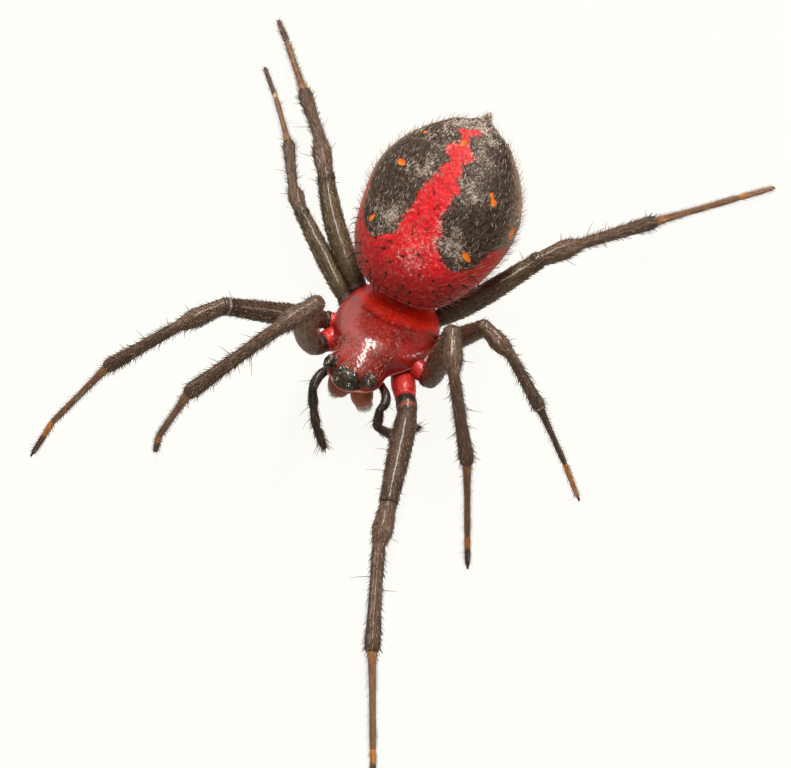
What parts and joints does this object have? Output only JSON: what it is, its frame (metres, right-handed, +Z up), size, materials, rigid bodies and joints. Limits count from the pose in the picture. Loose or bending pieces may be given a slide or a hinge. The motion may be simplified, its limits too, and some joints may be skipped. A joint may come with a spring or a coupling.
{
  "type": "alpaida carminea orb-weaver spider, life-size still model",
  "caption": "Small red and black orb-weaving spider standing on its feet, legs spread, tail point raised; a still life-size model.",
  "frame": {"origin": "middle of the spider's outline seen from above, at floor level", "axes": "+Z up; the head faces -Y; the spider's own left side is +X"},
  "size_m": [0.018, 0.0258, 0.0065],
  "materials": {
    "carapace_red": "glossy, slightly translucent deep red shell",
    "coxa_red": "glossy bright red leg bases",
    "sternum_red": "satin dark red underside of the front body",
    "abdomen_black_and_red": "red in front and along the back, black behind, satin with fine pale hairs",
    "leg_black": "brown-black, finely grained, satin to glossy",
    "foot_brown": "dark brown with orange bands near the joints",
    "jaw_brown_red": "glossy brown-red",
    "eye_black": "polished black"
  },
  "bodies": {
    "root": {"carapace": "carapace_red", "sternum": "sternum_red", "mouthparts": "sternum_red", "pedicel": "sternum_red", "abdomen": "abdomen_black_and_red", "spinnerets": "foot_brown", "coxa_L1": "coxa_red", "coxa_L2": "coxa_red", "coxa_L3": "coxa_red", "coxa_L4": "coxa_red", "coxa_R1": "coxa_red", "coxa_R2": "coxa_red", "coxa_R3": "coxa_red", "coxa_R4": "coxa_red", "femur_L1": "leg_black", "femur_L2": "leg_black", "femur_L3": "leg_black", "femur_L4": "leg_black", "femur_R1": "leg_black", "femur_R2": "leg_black", "femur_R3": "leg_black", "femur_R4": "leg_black", "tibia_L1": "leg_black", "tibia_L2": "leg_black", "tibia_L3": "leg_black", "tibia_L4": "leg_black", "tibia_R1": "leg_black", "tibia_R2": "leg_black", "tibia_R3": "leg_black", "tibia_R4": "leg_black", "foot_L1": "foot_brown", "foot_L2": "foot_brown", "foot_L3": "foot_brown", "foot_L4": "foot_brown", "foot_R1": "foot_brown", "foot_R2": "foot_brown", "foot_R3": "foot_brown", "foot_R4": "foot_brown", "palp_base_L": "leg_black", "palp_base_R": "leg_black", "palp_tip_L": "leg_black", "palp_tip_R": "leg_black", "chelicera_L": "jaw_brown_red", "chelicera_R": "jaw_brown_red", "fang_L": "jaw_brown_red", "fang_R": "jaw_brown_red", "eye_anterior_median_L": "eye_black", "eye_anterior_median_R": "eye_black", "eye_posterior_median_L": "eye_black", "eye_posterior_median_R": "eye_black", "eye_anterior_lateral_L": "eye_black", "eye_anterior_lateral_R": "eye_black", "eye_posterior_lateral_L": "eye_black", "eye_posterior_lateral_R": "eye_black"}
  },
  "joints": []
}
